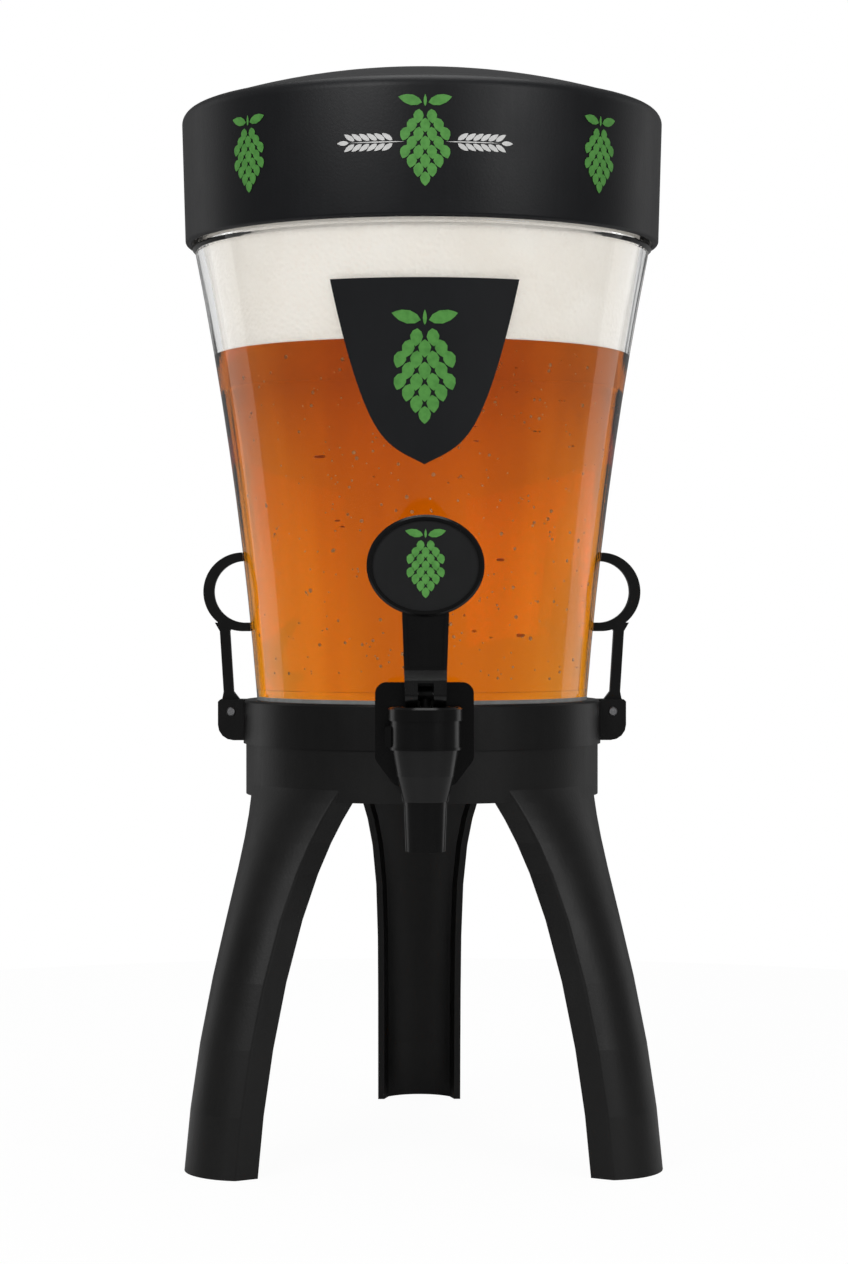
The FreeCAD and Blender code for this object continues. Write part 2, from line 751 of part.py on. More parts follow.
def make_lever():
    """The handle: a rounded heel on the bonnet, a tapered arm and an oval head."""
    nose_radius = pin_rise - heel_gap
    nose_y = tap_reach + nose_reach
    back_y = tap_reach - lever_back_depth
    heel_z = pin_z - nose_radius
    head_z = pin_z + lever_length
    back_top = lever_front - lever_head_depth
    bend = nose_radius * math.sqrt(0.5)
    slot_top = pin_z + lever_slot_height
    crest = (nose_y + nose_crest, slot_top + nose_rise)
    shin = (lever_front, slot_top + nose_radius)

    def side(distance, z):
        return Vector(0, -distance, z)

    edges = [
        line(side(back_y, heel_z), side(nose_y, heel_z)),
        arc(side(nose_y, heel_z), side(nose_y + bend, pin_z - bend),
            side(nose_y + nose_radius, pin_z)),
        line(side(nose_y + nose_radius, pin_z), side(*crest)),
        line(side(*crest), side(*shin)),
        line(side(*shin), side(lever_front, head_z)),
        line(side(lever_front, head_z), side(back_top, head_z)),
        line(side(back_top, head_z), side(back_y, pin_z + nose_radius)),
        line(side(back_y, pin_z + nose_radius), side(back_y, heel_z)),
    ]
    face = Part.Face(Part.Wire(edges))
    face.translate(Vector(-head_width / 2, 0, 0))
    arm = face.extrude(sideways * head_width)
    taper = prism(lever_taper(0.0, heel_z, head_z), head_width)
    arm = arm.common(at_tap(taper))

    panel = prism(lever_taper(lever_panel_margin, slot_top + nose_radius + nose_rise, head_z),
                  lever_panel_depth)
    panel.translate(forward * lever_front)
    arm = arm.cut(panel)

    slot_half = lever_slot_width / 2
    slot = box((-slot_half, -nose_y - 2 * nose_radius, heel_z - overshoot),
               (slot_half, -tap_reach + eye_radius + fit_clearance, slot_top))
    pin_hole = Part.makeCylinder(lever_pin_radius + pin_clearance, lever_pin_length,
                                 Vector(-lever_pin_length / 2, -tap_reach, pin_z), sideways)
    arm = arm.cut([slot, pin_hole])

    head = head_ellipse(0.0, head_front - head_thickness, head_front)
    head = head.makeChamfer(head_edge, [edge for edge in head.Edges if edge.Closed])
    recess = head_ellipse(head_rim, head_front - badge_recess, head_front + overshoot)
    return arm.fuse(head).cut(recess).removeSplitter()


def make_badge():
    floor = head_front - badge_recess
    return head_ellipse(head_rim + running_clearance, floor, floor + badge_thickness)


def make_nut():
    nut_back = boss_inner - inner_gasket_thickness
    corner = nut_across_flats / math.sqrt(3)
    spots = []
    for step in range(7):
        angle = math.radians(60 * step)
        spots.append(Vector(corner * math.cos(angle), -nut_back,
                            shank_z + corner * math.sin(angle)))
    nut = Part.Face(Part.makePolygon(spots)).extrude(forward * -nut_thickness)
    hole = bar(shank_radius + running_clearance, shank_end, boss_inner, shank_z)
    return nut.cut(hole)


def washer(start, end):
    disc = bar(gasket_radius, start, end, shank_z)
    return disc.cut(bar(shank_radius + running_clearance, start, end, shank_z))


def make_label():
    """A thin shield-shaped label that follows the vessel's flared side."""
    top_z = base_z + label_top_rise
    middle_z = base_z + label_middle_rise
    tip_z = base_z + label_tip_rise
    low = tip_z - label_margin
    high = top_z + label_margin
    back = side_spots(low, high, label_gap)
    front = side_spots(high, low, label_gap + label_thickness)
    skin = revolve([
        *chords(*back, label_bands),
        line(back[-1], front[0]),
        *chords(*front, label_bands),
        line(front[-1], back[0]),
    ])
    right = label_top_half_width
    shield = Part.Face(Part.Wire([
        line(point(-right, top_z), point(right, top_z)),
        arc(point(right, top_z), point(label_middle_half_width, middle_z), point(0, tip_z)),
        arc(point(0, tip_z), point(-label_middle_half_width, middle_z), point(-right, top_z)),
    ]))
    cutter = shield.extrude(forward * (2 * rim_radius))
    return skin.common(cutter)


def mirrored(solid):
    return solid.mirror(Vector(0, 0, 0), sideways)


def make_parts():
    gasket_inner = sump_radius + gasket_clearance
    hook = make_hook()
    pin = make_hook_pin()
    return {
        "tripod_stand": make_stand(),
        "collar_ring": make_collar(),
        "vessel": make_vessel(),
        "vessel_gasket": ring(base_radius, gasket_inner, collar_top, base_z),
        "lid": make_lid(),
        "side_hook_right": hook,
        "side_hook_left": mirrored(hook),
        "hook_pin_right": pin,
        "hook_pin_left": mirrored(pin),
        "tap_plate": make_plate(),
        "tap_body": make_tap_body(),
        "tap_bonnet": make_bonnet(),
        "stem_seal": make_stem_seal(),
        "valve_stem": make_stem(),
        "valve_plug": make_plug(),
        "valve_spring": make_spring(),
        "tap_lever": make_lever(),
        "lever_pin": make_lever_pin(),
        "handle_badge": make_badge(),
        "shank_gasket_outer": washer(boss_face, pad_inner),
        "shank_gasket_inner": washer(boss_inner - inner_gasket_thickness, boss_inner),
        "shank_nut": make_nut(),
        "front_label": make_label(),
    }


os.makedirs("parts", exist_ok=True)
for name, shape in make_parts().items():
    shape.exportStep("parts/" + name + ".step")
    bounds = shape.BoundBox
    print(name, "solids", len(shape.Solids), "valid", shape.isValid(),
          "volume", round(shape.Volume, 1),
          "z", round(bounds.ZMin, 2), round(bounds.ZMax, 2),
          "x", round(bounds.XMin, 2), round(bounds.XMax, 2),
          "y", round(bounds.YMin, 2), round(bounds.YMax, 2))
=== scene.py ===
import math
import random

import bmesh
import bpy
from mathutils import Matrix, Vector


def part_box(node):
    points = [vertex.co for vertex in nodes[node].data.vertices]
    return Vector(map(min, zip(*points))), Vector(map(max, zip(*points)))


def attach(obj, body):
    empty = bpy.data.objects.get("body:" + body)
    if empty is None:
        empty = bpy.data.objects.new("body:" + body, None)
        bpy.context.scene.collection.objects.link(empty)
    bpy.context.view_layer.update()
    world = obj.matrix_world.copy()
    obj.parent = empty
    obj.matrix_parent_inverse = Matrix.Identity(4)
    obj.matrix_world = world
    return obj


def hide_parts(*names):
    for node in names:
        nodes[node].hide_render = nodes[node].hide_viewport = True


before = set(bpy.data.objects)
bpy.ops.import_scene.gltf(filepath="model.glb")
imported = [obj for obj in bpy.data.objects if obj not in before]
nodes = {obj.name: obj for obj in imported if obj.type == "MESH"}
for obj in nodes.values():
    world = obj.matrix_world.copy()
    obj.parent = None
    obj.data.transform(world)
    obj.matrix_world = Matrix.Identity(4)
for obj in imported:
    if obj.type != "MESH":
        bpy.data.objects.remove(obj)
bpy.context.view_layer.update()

scene = bpy.context.scene
random.seed(7)


# Helpers for materials

def newMaterial(name):
    material = bpy.data.materials.new(name)
    material.use_nodes = True
    tree = material.node_tree
    return material, tree, tree.nodes["Principled BSDF"]


def addNode(tree, kind, **settings):
    node = tree.nodes.new(kind)
    for key, value in settings.items():
        if key in node.inputs:
            node.inputs[key].default_value = value
        else:
            setattr(node, key, value)
    return node


def ramp(tree, source, stops):
    node = tree.nodes.new("ShaderNodeValToRGB")
    points = node.color_ramp.elements
    while len(points) < len(stops):
        points.new(0.5)
    for element, (place, colour) in zip(points, stops):
        element.position = place
        element.color = (*colour, 1) if len(colour) == 3 else (colour[0],) * 3 + (1,)
    tree.links.new(source, node.inputs["Fac"])
    return node


def objectPlace(tree, scale=(1, 1, 1), location=(0, 0, 0)):
    coords = tree.nodes.new("ShaderNodeTexCoord")
    mapping = tree.nodes.new("ShaderNodeMapping")
    mapping.inputs["Scale"].default_value = scale
    mapping.inputs["Location"].default_value = location
    tree.links.new(coords.outputs["Object"], mapping.inputs["Vector"])
    return mapping.outputs["Vector"]


def paintNode(name, material):
    obj = nodes[name]
    if not obj.material_slots:
        obj.data.materials.append(material)
    for slot in obj.material_slots:
        slot.material = material


# Moulded black plastic: fine spark-eroded grain, faint flow marks and rubbed patches

plasticFinishes = {
    "standPlastic": dict(colour=(0.0048, 0.0047, 0.0046), rough=0.40, grain=900, bump=0.10, rub=0.10),
    "collarPlastic": dict(colour=(0.0032, 0.0031, 0.0031), rough=0.34, grain=1100, bump=0.08, rub=0.08),
    "lidPlastic": dict(colour=(0.0062, 0.0067, 0.0082), rough=0.40, grain=1000, bump=0.10, rub=0.08),
    "hookPlastic": dict(colour=(0.0040, 0.0040, 0.0040), rough=0.33, grain=1300, bump=0.06, rub=0.06),
    "tapPlastic": dict(colour=(0.0022, 0.0022, 0.0023), rough=0.20, grain=1500, bump=0.04, rub=0.08),
    "leverPlastic": dict(colour=(0.0022, 0.0022, 0.0023), rough=0.24, grain=1500, bump=0.04, rub=0.08),
    "badgePlastic": dict(colour=(0.0070, 0.0074, 0.0080), rough=0.46, grain=1700, bump=0.06, rub=0.05),
    "acetal": dict(colour=(0.016, 0.016, 0.016), rough=0.36, grain=1500, bump=0.04, rub=0.05),
    "labelFilm": dict(colour=(0.0062, 0.0070, 0.0086), rough=0.48, grain=2200, bump=0.03, rub=0.04),
}


def mouldedPlastic(name, colour, rough, grain, bump, rub):
    material, tree, shader = newMaterial(name)
    place = objectPlace(tree)
    patches = addNode(tree, "ShaderNodeTexNoise", Scale=28.0, Detail=4.0, Roughness=0.6)
    tree.links.new(place, patches.inputs["Vector"])
    streaks = addNode(tree, "ShaderNodeTexNoise", Scale=1.0, Detail=3.0)
    tree.links.new(objectPlace(tree, scale=(420, 420, 26)), streaks.inputs["Vector"])
    blend = addNode(tree, "ShaderNodeMath", operation="MULTIPLY_ADD")
    tree.links.new(streaks.outputs["Fac"], blend.inputs[0])
    blend.inputs[1].default_value = 0.35
    tree.links.new(patches.outputs["Fac"], blend.inputs[2])
    roughness = addNode(tree, "ShaderNodeMapRange")
    roughness.inputs["From Min"].default_value = 0.35
    roughness.inputs["From Max"].default_value = 1.0
    roughness.inputs["To Min"].default_value = rough - rub / 2
    roughness.inputs["To Max"].default_value = rough + rub
    tree.links.new(blend.outputs[0], roughness.inputs["Value"])
    tree.links.new(roughness.outputs["Result"], shader.inputs["Roughness"])
    darker = [channel * 0.82 for channel in colour]
    lighter = [channel * 1.25 for channel in colour]
    tint = ramp(tree, blend.outputs[0], [(0.35, darker), (0.95, lighter)])
    tree.links.new(tint.outputs["Color"], shader.inputs["Base Color"])
    grainNoise = addNode(tree, "ShaderNodeTexNoise", Scale=float(grain), Detail=2.0)
    tree.links.new(place, grainNoise.inputs["Vector"])
    relief = addNode(tree, "ShaderNodeBump", Strength=bump, Distance=0.0004)
    tree.links.new(grainNoise.outputs["Fac"], relief.inputs["Height"])
    tree.links.new(relief.outputs["Normal"], shader.inputs["Normal"])
    shader.inputs["IOR"].default_value = 1.5
    shader.inputs["Specular IOR Level"].default_value = 0.34
    return material


def siliconeRubber():
    material, tree, shader = newMaterial("siliconeRubber")
    cloud = addNode(tree, "ShaderNodeTexNoise", Scale=220.0, Detail=3.0)
    tree.links.new(objectPlace(tree), cloud.inputs["Vector"])
    tint = ramp(tree, cloud.outputs["Fac"], [(0.3, (0.32, 0.32, 0.31)), (0.7, (0.42, 0.42, 0.41))])
    tree.links.new(tint.outputs["Color"], shader.inputs["Base Color"])
    shader.inputs["Roughness"].default_value = 0.55
    shader.inputs["Subsurface Weight"].default_value = 0.1
    return material


def drawnSteel():
    material, tree, shader = newMaterial("drawnSteel")
    lines = addNode(tree, "ShaderNodeTexNoise", Scale=1.0, Detail=4.0)
    tree.links.new(objectPlace(tree, scale=(2600, 120, 2600)), lines.inputs["Vector"])
    tint = ramp(tree, lines.outputs["Fac"], [(0.3, (0.36, 0.36, 0.37)), (0.7, (0.56, 0.56, 0.57))])
    tree.links.new(tint.outputs["Color"], shader.inputs["Base Color"])
    rough = addNode(tree, "ShaderNodeMapRange")
    rough.inputs["To Min"].default_value = 0.22
    rough.inputs["To Max"].default_value = 0.42
    tree.links.new(lines.outputs["Fac"], rough.inputs["Value"])
    tree.links.new(rough.outputs["Result"], shader.inputs["Roughness"])
    shader.inputs["Metallic"].default_value = 1.0
    return material


def clearVesselPlastic():
    material, tree, shader = newMaterial("clearVesselPlastic")
    shader.inputs["Base Color"].default_value = (0.97, 0.975, 0.97, 1)
    shader.inputs["Transmission Weight"].default_value = 1.0
    shader.inputs["IOR"].default_value = 1.49
    geometry = tree.nodes.new("ShaderNodeNewGeometry")
    wetSide = ramp(tree, geometry.outputs["Backfacing"], [(0.0, (1, 1, 1)), (1.0, (0.06, 0.06, 0.06))])
    tree.links.new(wetSide.outputs["Color"], shader.inputs["Specular Tint"])
    waves = addNode(tree, "ShaderNodeTexNoise", Scale=1.0, Detail=1.0)
    tree.links.new(objectPlace(tree, scale=(55, 55, 2.5)), waves.inputs["Vector"])
    relief = addNode(tree, "ShaderNodeBump", Strength=0.25, Distance=0.0008)
    tree.links.new(waves.outputs["Fac"], relief.inputs["Height"])
    tree.links.new(relief.outputs["Normal"], shader.inputs["Normal"])
    scuffs = addNode(tree, "ShaderNodeTexNoise", Scale=60.0, Detail=6.0)
    tree.links.new(objectPlace(tree), scuffs.inputs["Vector"])
    rough = addNode(tree, "ShaderNodeMapRange")
    rough.inputs["To Min"].default_value = 0.0
    rough.inputs["To Max"].default_value = 0.03
    tree.links.new(scuffs.outputs["Fac"], rough.inputs["Value"])
    tree.links.new(rough.outputs["Result"], shader.inputs["Roughness"])
    return material


# The drink

vesselForm = dict(side=((0.0692, 0.187), (0.0805, 0.288), (0.0949, 0.372)), rim=0.0950,
                  wall=0.0032, sump=0.0628, floor=0.1617, ledge=0.1902)

# The shade depth is the band under the foam head where the beer's colour is darkened as painted shade.
drink = dict(level=0.3296, overlap=0.00012, inset=0.01, paintedShadeDepth=0.075,
             absorb=(0.935, 0.715, 0.01), density=50.0)


def vesselInner(z):
    low, middle, top = vesselForm["side"]
    a, b = middle[0] - low[0], middle[1] - low[1]
    c, d = top[0] - low[0], top[1] - low[1]
    e = (a * (middle[0] + low[0]) + b * (middle[1] + low[1])) / 2
    f = (c * (top[0] + low[0]) + d * (top[1] + low[1])) / 2
    centreR = (e * d - f * b) / (a * d - b * c)
    centreZ = (a * f - c * e) / (a * d - b * c)
    curve = math.hypot(low[0] - centreR, low[1] - centreZ) + vesselForm["wall"]
    if z > top[1]:
        return vesselForm["rim"] - vesselForm["wall"]
    return centreR - math.sqrt(curve ** 2 - (z - centreZ) ** 2)


def spinProfile(name, profile, steps=180, closed=False):
    bm = bmesh.new()
    verts = [bm.verts.new((radius, 0, z)) for radius, z in profile]
    edges = [bm.edges.new(pair) for pair in zip(verts, verts[1:])]
    if closed:
        edges.append(bm.edges.new((verts[-1], verts[0])))
    bmesh.ops.spin(bm, geom=verts + edges, cent=(0, 0, 0), axis=(0, 0, 1),
                   angle=2 * math.pi, steps=steps, use_merge=True)
    bmesh.ops.remove_doubles(bm, verts=bm.verts, dist=1e-6)
    bmesh.ops.recalc_face_normals(bm, faces=bm.faces)
    mesh = bpy.data.meshes.new(name)
    bm.to_mesh(mesh)
    bm.free()
    for polygon in mesh.polygons:
        polygon.use_smooth = True
    mesh.set_sharp_from_angle(angle=math.radians(35))
    obj = bpy.data.objects.new(name, mesh)
    scene.collection.objects.link(obj)
    return obj


def addPiece(name, bm, material, body, smooth=True, sharp=35):
    mesh = bpy.data.meshes.new(name)
    bm.to_mesh(mesh)
    bm.free()
    for polygon in mesh.polygons:
        polygon.use_smooth = smooth
    if smooth:
        mesh.set_sharp_from_angle(angle=math.radians(sharp))
    mesh.materials.append(material)
    obj = bpy.data.objects.new(name, mesh)
    scene.collection.objects.link(obj)
    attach(obj, body)
    return obj


def heights(low, high, count):
    return [low + (high - low) * i / (count - 1) for i in range(count)]


def beerMaterial():
    material, tree, shader = newMaterial("amberBeer")
    shader.inputs["Transmission Weight"].default_value = 1.0
    shader.inputs["IOR"].default_value = 1.34
    swirl = addNode(tree, "ShaderNodeTexNoise", Scale=1.0, Detail=2.0)
    tree.links.new(objectPlace(tree, scale=(42, 42, 3.5)), swirl.inputs["Vector"])
    tint = ramp(tree, swirl.outputs["Fac"], [(0.36, (0.80, 0.70, 0.55)), (0.62, (1, 0.97, 0.9))])
    # Painted shade under the foam head: the beer's colour darkens over its top 75 mm, up to the level.
    axes = tree.nodes.new("ShaderNodeSeparateXYZ")
    tree.links.new(objectPlace(tree), axes.inputs["Vector"])
    paintedShadeMask = addNode(tree, "ShaderNodeMapRange")
    paintedShadeMask.inputs["From Min"].default_value = drink["level"] - drink["paintedShadeDepth"]
    paintedShadeMask.inputs["From Max"].default_value = drink["level"]
    tree.links.new(axes.outputs["Z"], paintedShadeMask.inputs["Value"])
    paintedShade = ramp(tree, paintedShadeMask.outputs["Result"],
                 [(0.0, (1, 1, 1)), (0.55, (0.86, 0.84, 0.8)),
                  (0.85, (0.7, 0.66, 0.6)), (1.0, (0.58, 0.54, 0.5))])
    mix = addNode(tree, "ShaderNodeMix", data_type="RGBA", blend_type="MULTIPLY")
    mix.inputs["Factor"].default_value = 1.0
    tree.links.new(tint.outputs["Color"], mix.inputs[6])
    tree.links.new(paintedShade.outputs["Color"], mix.inputs[7])
    tree.links.new(mix.outputs[2], shader.inputs["Base Color"])
    shader.inputs["Specular Tint"].default_value = (0.05, 0.05, 0.05, 1)
    rough = addNode(tree, "ShaderNodeMapRange")
    rough.inputs["To Min"].default_value = 0.0
    rough.inputs["To Max"].default_value = 0.04
    tree.links.new(swirl.outputs["Fac"], rough.inputs["Value"])
    tree.links.new(rough.outputs["Result"], shader.inputs["Roughness"])
    volume = addNode(tree, "ShaderNodeVolumeAbsorption", Density=drink["density"])
    volume.inputs["Color"].default_value = (*drink["absorb"], 1)
    tree.links.new(volume.outputs["Volume"], tree.nodes["Material Output"].inputs["Volume"])
    return material


def foamMaterial():
    material, tree, shader = newMaterial("foam")
    place = objectPlace(tree)
    cells = addNode(tree, "ShaderNodeTexVoronoi", Scale=520.0)
    tree.links.new(place, cells.inputs["Vector"])
    coarse = addNode(tree, "ShaderNodeTexVoronoi", Scale=170.0)
    tree.links.new(place, coarse.inputs["Vector"])
    soft = addNode(tree, "ShaderNodeTexNoise", Scale=30.0, Detail=4.0)
    tree.links.new(place, soft.inputs["Vector"])
    tint = ramp(tree, soft.outputs["Fac"], [(0.3, (0.90, 0.84, 0.76)), (0.7, (0.98, 0.93, 0.865))])
    # Painted shade: the pore hollows, low in the bump below, are tinted darker.
    poreShade = ramp(tree, cells.outputs["Distance"], [(0.0, (0.93, 0.90, 0.86)), (0.35, (1, 1, 1))])
    mix = addNode(tree, "ShaderNodeMix", data_type="RGBA", blend_type="MULTIPLY")
    mix.inputs["Factor"].default_value = 0.6
    tree.links.new(tint.outputs["Color"], mix.inputs[6])
    tree.links.new(poreShade.outputs["Color"], mix.inputs[7])
    tree.links.new(mix.outputs[2], shader.inputs["Base Color"])
    relief = addNode(tree, "ShaderNodeBump", Strength=0.35, Distance=0.0008)
    tree.links.new(cells.outputs["Distance"], relief.inputs["Height"])
    tree.links.new(relief.outputs["Normal"], shader.inputs["Normal"])
    shader.inputs["Roughness"].default_value = 0.75
    # Painted light: the foam glows faintly so that it reads brighter than its lighting makes it.
    shader.inputs["Emission Color"].default_value = (1, 0.95, 0.88, 1)
    shader.inputs["Emission Strength"].default_value = 0.15
    return material


foamForm = dict(top=0.398, lift=0.00005, footGap=0.0004, sideGap=0.00015, step=0.001,
                crown=((0.080, 0.003), (0.05, 0.0045), (0, 0.005)))


def makeDrink():
    level, overlap = drink["level"], drink["overlap"]
    sump = vesselForm["sump"] + overlap
    floor, ledge = vesselForm["floor"] - overlap, vesselForm["ledge"] - overlap
    beerProfile = [(0, floor), (sump, floor), (sump, ledge)]
    beerProfile += [(vesselInner(z) + overlap, z) for z in heights(ledge, level, 26)]
    beerProfile += [(vesselInner(level) - drink["inset"], level), (0, level)]
    beer = spinProfile("beer", beerProfile)
    beer.data.materials.append(beerMaterial())
    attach(beer, "vessel_unit")

    foot, top = level + foamForm["lift"], foamForm["top"]
    foamProfile = [(0, foot), (vesselInner(level) - foamForm["footGap"], foot)]
    foamProfile += [(vesselInner(z) - foamForm["sideGap"], z)
                    for z in heights(level + foamForm["step"], top, 22)]
    foamProfile += [(radius, top + rise) for radius, rise in foamForm["crown"]]
    foam = spinProfile("foam_head", foamProfile)
    foam.data.materials.append(foamMaterial())
    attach(foam, "vessel_unit")
    print("drink made")


bubbles = dict(count=560, small=0.00032, large=0.0009, lowest=0.195, belowLevel=0.004, rising=0.9,
               frontSpread=0.85, wallGap=1.15)


def makeBubbles():
    bm = bmesh.new()
    reach = drink["level"] - bubbles["belowLevel"] - bubbles["lowest"]
    for index in range(bubbles["count"]):
        z = bubbles["lowest"] + reach * random.random() ** bubbles["rising"]
        angle = random.uniform(-math.pi, math.pi)
        if index % 3:
            angle = random.gauss(0, bubbles["frontSpread"])
        size = bubbles["small"] + (bubbles["large"] - bubbles["small"]) * random.random() ** 3
        radius = vesselInner(z) - size * bubbles["wallGap"]
        centre = Vector((radius * math.sin(angle), -radius * math.cos(angle), z))
        bmesh.ops.create_uvsphere(bm, u_segments=8, v_segments=5, radius=size,
                                  matrix=Matrix.Translation(centre))
    material, tree, shader = newMaterial("bubbleGas")
    # Painted highlight: a pale diffuse share on the gas bubbles stands in for their glints.
    shader.inputs["Base Color"].default_value = (1, 0.74, 0.46, 1)
    shader.inputs["Transmission Weight"].default_value = 0.6
    shader.inputs["IOR"].default_value = 0.75
    glint = addNode(tree, "ShaderNodeTexNoise", Scale=900.0)
    tree.links.new(objectPlace(tree), glint.inputs["Vector"])
    rough = addNode(tree, "ShaderNodeMapRange")
    rough.inputs["To Max"].default_value = 0.12
    tree.links.new(glint.outputs["Fac"], rough.inputs["Value"])
    tree.links.new(rough.outputs["Result"], shader.inputs["Roughness"])
    addPiece("beer_bubbles", bm, material, "vessel_unit", sharp=180)
    print("bubbles made")


# Printed marks: a hop cone and ears of barley, drawn flat and wrapped on what carries them

inkFinishes = {
    "greenInk": dict(light=(0.118, 0.400, 0.076), dark=(0.085, 0.315, 0.055)),
    "whiteInk": dict(light=(0.86, 0.86, 0.85), dark=(0.76, 0.76, 0.75)),
}


def printInk(name, light, dark):
    material, tree, shader = newMaterial(name)
    speckle = addNode(tree, "ShaderNodeTexNoise", Scale=420.0, Detail=3.0)
    tree.links.new(objectPlace(tree), speckle.inputs["Vector"])
    tint = ramp(tree, speckle.outputs["Fac"], [(0.3, dark), (0.6, light)])
    tree.links.new(tint.outputs["Color"], shader.inputs["Base Color"])
    shader.inputs["Roughness"].default_value = 0.45
    return material


def petal(bm, x, y, length, width, turn):
    outline = [(0, 0), (0.34, 0.16), (0.5, 0.42), (0.40, 0.70), (0.2, 0.88), (0, 1),
               (-0.2, 0.88), (-0.40, 0.70), (-0.5, 0.42), (-0.34, 0.16)]
    place = Matrix.Translation((x, y, 0)) @ Matrix.Rotation(turn, 4, "Z")
    verts = [bm.verts.new(place @ Vector((px * width, -py * length, 0))) for px, py in outline]
    bm.faces.new(verts)


def hopCone(height):
    bm = bmesh.new()
    for row, count in enumerate((2, 3, 4, 3, 4, 3, 2, 1)):
        y = (0.36 - 0.095 * row) * height
        for index in range(count):
            offset = index - (count - 1) / 2
            petal(bm, offset * 0.128 * height, y, 0.155 * height, 0.112 * height, offset * 0.22)
    for side in (-1, 1):
        petal(bm, side * 0.035 * height, 0.43 * height, 0.26 * height, 0.115 * height,
              side * math.radians(104))
    petal(bm, 0, 0.39 * height, 0.13 * height, 0.035 * height, math.pi)
    return bm


def barleyEar(length, side):
    bm = bmesh.new()
    for index in range(6):
        x = side * length * (0.12 + 0.128 * index)
        for lean in (-1, 1):
            petal(bm, x, lean * length * 0.028, length * 0.21, length * 0.082,
                  side * math.pi / 2 + lean * side * math.radians(33))
    petal(bm, side * length * 0.86, 0, length * 0.2, length * 0.08, side * math.pi / 2)
    petal(bm, -side * length * 0.08, 0, length * 0.93, length * 0.02, side * math.pi / 2)
    return bm


def wrapMark(name, bm, place, material, body, thickness=0.00012, longest=0.0022):
    bmesh.ops.triangulate(bm, faces=bm.faces)
    for cut in range(3):
        longEdges = [edge for edge in bm.edges if edge.calc_length() > longest]
        bmesh.ops.subdivide_edges(bm, edges=longEdges, cuts=1)
        bmesh.ops.triangulate(bm, faces=bm.faces)
    for vert in bm.verts:
        vert.co = place(vert.co.x, vert.co.y)
    bmesh.ops.recalc_face_normals(bm, faces=bm.faces)
    bmesh.ops.solidify(bm, geom=bm.faces, thickness=thickness)
    return addPiece(name, bm, material, body, sharp=40)


def onLid(centreAngle, centreZ, lift=0.00014):
    def place(x, y):
        z = centreZ + y
        foot = lidForm["lipCentre"][1]
        rise = (z - foot) / (lidForm["skirtTop"] - foot)
        radius = lidForm["mouth"] + (lidForm["top"] - lidForm["mouth"]) * rise + lift
        angle = centreAngle + x / radius
        return Vector((radius * math.sin(angle), -radius * math.cos(angle), z))
    return place


def onVessel(centreZ, lift=0.00068):
    def place(x, y):
        z = centreZ + y
        radius = vesselInner(z) + vesselForm["wall"] + lift
        angle = x / radius
        return Vector((radius * math.sin(angle), -radius * math.cos(angle), z))
    return place


def onBadge(centreZ, lift=0.00014):
    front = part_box("handle_badge")[0].y
    return lambda x, y: Vector((x, front - lift, centreZ + y))


shield = dict(top=0.3523, tip=0.2800, halfWidth=0.0369, power=0.41, blunt=0.05, gap=0.00012, rows=30,
              columns=18, thickness=0.0004, firstRow=0.004, crowding=1.8)


def makeShield(material):
    bm = bmesh.new()
    rows = []
    for row in range(shield["rows"] + 1):
        t = shield["firstRow"] + (1 - shield["firstRow"]) * (row / shield["rows"]) ** shield["crowding"]
        z = shield["tip"] + (shield["top"] - shield["tip"]) * t
        radius = vesselInner(z) + vesselForm["wall"] + shield["gap"]
        line = []
        for column in range(shield["columns"] + 1):
            half = shield["halfWidth"] * t ** shield["power"] * (1 - math.exp(-t / shield["blunt"]))
            x = half * (2 * column / shield["columns"] - 1)
            line.append(bm.verts.new((x, -math.sqrt(radius ** 2 - x ** 2), z)))
        rows.append(line)
    for low, high in zip(rows, rows[1:]):
        for left in range(shield["columns"]):
            bm.faces.new((low[left], low[left + 1], high[left + 1], high[left]))
    bmesh.ops.recalc_face_normals(bm, faces=bm.faces)
    outward = sum(face.normal.y for face in bm.faces) < 0
    thickness = -shield["thickness"] if outward else shield["thickness"]
    bmesh.ops.solidify(bm, geom=bm.faces, thickness=thickness)
    label = addPiece("label_shield", bm, material, "vessel_unit")
    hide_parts("front_label")


lidForm = dict(lipCentre=(0.0973, 0.3767), lip=0.0017, mouth=0.0990, top=0.1004, skirtTop=0.4250,
               edge=0.0053, apex=0.4462, domeEdge=(0.0951, 0.4303), wall=0.0025,
               rib=(0.0924, 0.0950), ribFoot=0.4130, lipTop=0.3784, lipInner=0.0956)


def turn(centre, radius, first, last, count):
    angles = [math.radians(first + (last - first) * i / count) for i in range(count + 1)]
    return [(centre[0] + radius * math.cos(a), centre[1] + radius * math.sin(a)) for a in angles]


def makeLid(material):
    form = lidForm
    edgeR, edgeZ = form["domeEdge"]
    rise = form["apex"] - edgeZ
    dome = (edgeR ** 2 + rise ** 2) / (2 * rise)

    def domeZ(radius):
        return form["apex"] - dome + math.sqrt(dome ** 2 - radius ** 2)

    profile = turn(form["lipCentre"], form["lip"], 180, 360, 10)
    profile += turn((form["top"] - form["edge"], form["skirtTop"]), form["edge"], 0, 90, 10)
    profile += [(radius, domeZ(radius)) for radius in heights(edgeR, 0, 20)[1:]]
    ribInner, ribOuter = form["rib"]
    profile += [(radius, domeZ(radius) - form["wall"]) for radius in heights(0, ribInner, 12)]
    profile += [(ribInner, form["ribFoot"]), (ribOuter, form["ribFoot"]),
                (ribOuter, domeZ(ribOuter) - form["wall"]),
                (form["top"] - form["wall"], form["skirtTop"]),
                (form["mouth"] - form["wall"], form["lipTop"]),
                (form["lipInner"], form["lipTop"])]
    lid = spinProfile("lid_shell", profile, steps=240, closed=True)
    lid.data.materials.append(material)
    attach(lid, "lid")
    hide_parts("lid")


